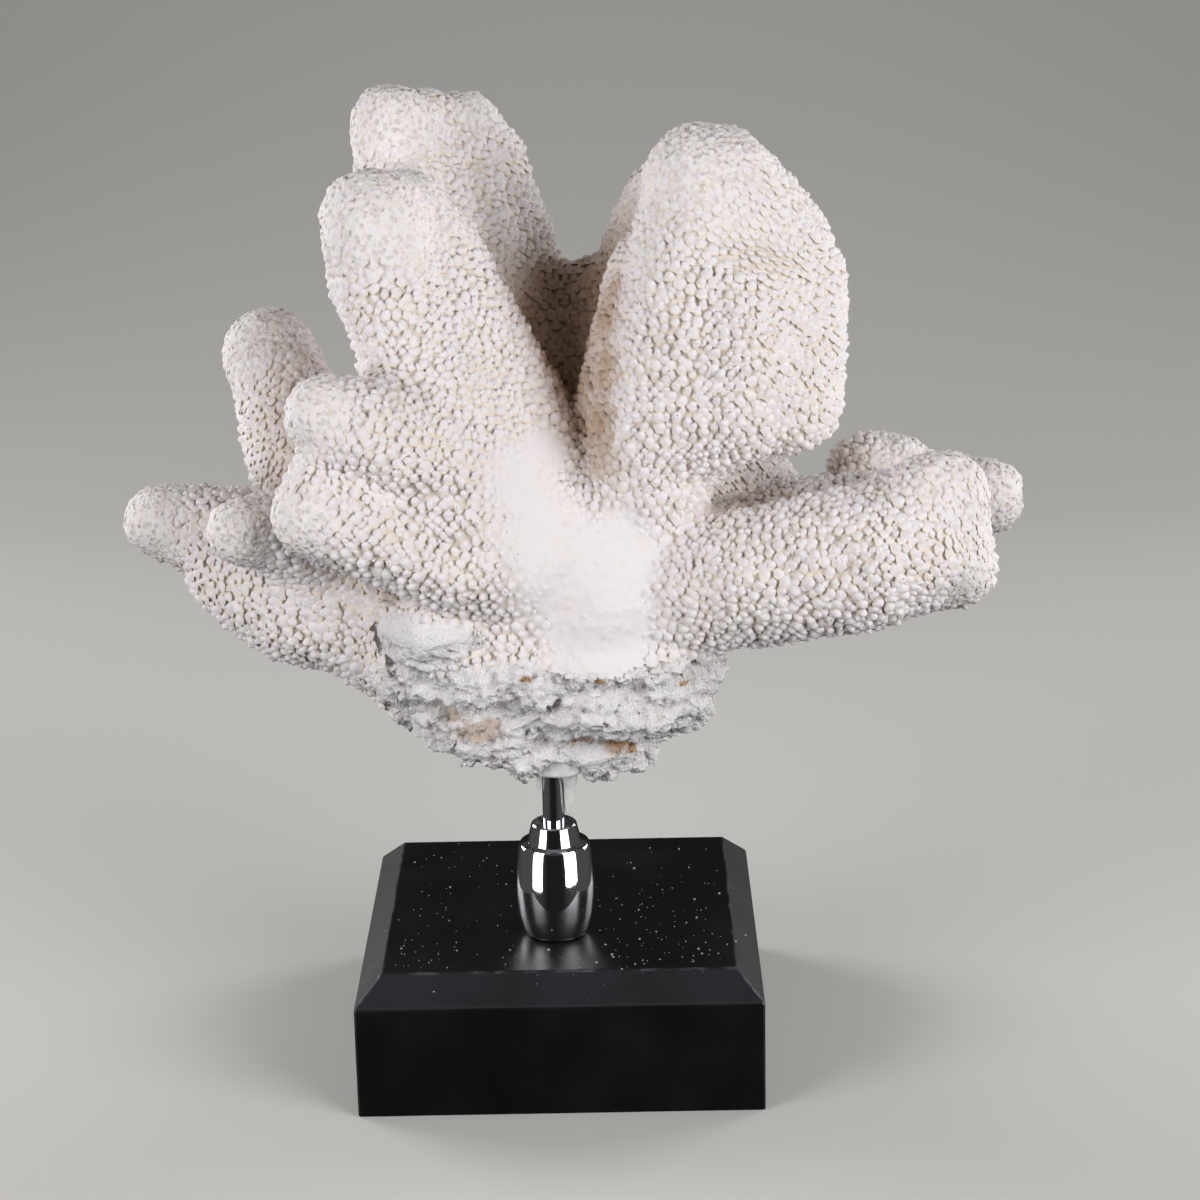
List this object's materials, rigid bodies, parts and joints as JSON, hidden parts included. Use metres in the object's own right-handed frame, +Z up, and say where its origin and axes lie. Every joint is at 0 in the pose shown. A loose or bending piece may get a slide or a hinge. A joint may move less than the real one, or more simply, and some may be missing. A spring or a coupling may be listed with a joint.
{
  "type": "coral skeleton on stand",
  "caption": "White cauliflower coral skeleton with thick blunt branches and a broken foot, held above a black square plinth by a chrome post; it stands on a flat surface for display.",
  "frame": {"origin": "centre of the plinth's underside", "axes": "+Z up, the longest extent; +X to the right of a viewer at the front; +Y from the front towards the back, the shortest extent"},
  "size_m": [0.269, 0.1539, 0.2916],
  "materials": {
    "white_coral": "matt, unglazed calcium carbonate, bleached white with cream hollows",
    "white_filler": "matt white filler, smeared smooth by hand",
    "chrome": "polished, mirror bright",
    "black_paint": "satin black paint on wood, a little dusty and scuffed"
  },
  "bodies": {
    "root": {"coral_back_left": "white_coral", "coral_back_middle": "white_coral", "coral_back_right": "white_coral", "coral_far_left": "white_coral", "coral_left_back": "white_coral", "coral_left_middle": "white_coral", "coral_right_back": "white_coral", "coral_right_front": "white_coral", "coral_upper_left_back": "white_coral", "coral_upper_left_front": "white_coral", "coral_upper_right": "white_coral", "coral_trunk": "white_coral", "filler": "white_filler", "rod": "chrome", "ferrule": "chrome", "plinth": "black_paint"}
  },
  "joints": []
}
